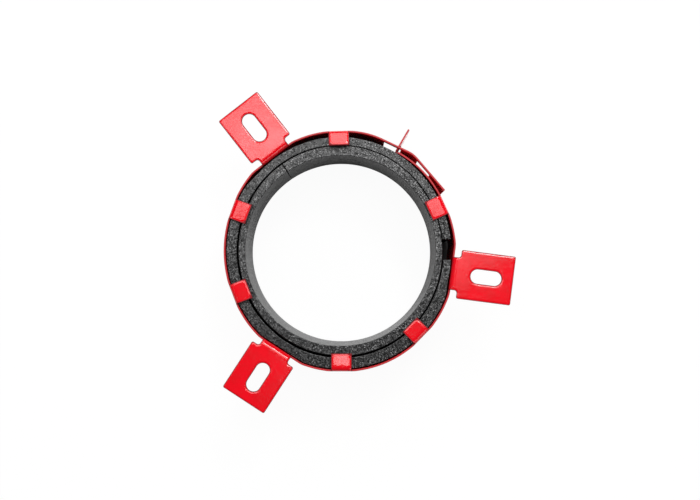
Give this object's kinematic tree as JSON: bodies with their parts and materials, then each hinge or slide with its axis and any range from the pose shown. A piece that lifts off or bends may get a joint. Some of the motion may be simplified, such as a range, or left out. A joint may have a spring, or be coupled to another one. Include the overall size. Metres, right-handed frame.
{
  "type": "pipe fire collar",
  "caption": "Round fire collar for a plastic pipe: a folded red sheet-steel band with slotted fixing lugs, holding dark intumescent strips by small inward tabs.",
  "frame": {"origin": "centre of the pipe bore, halfway between the underside of the lower tabs and the face of the lugs", "axes": "+Z along the pipe towards the lugs, +X near the lug at the right of the picture, +Y up in the picture"},
  "size_m": [0.174, 0.1879, 0.0526],
  "materials": {
    "red_coat": "gloss powder coat on thin sheet steel",
    "graphite": "matt, granular",
    "lighter_graphite": "matt, granular"
  },
  "bodies": {
    "root": {"band": "red_coat", "outer_strip": "graphite", "inner_strip": "lighter_graphite"}
  },
  "joints": []
}
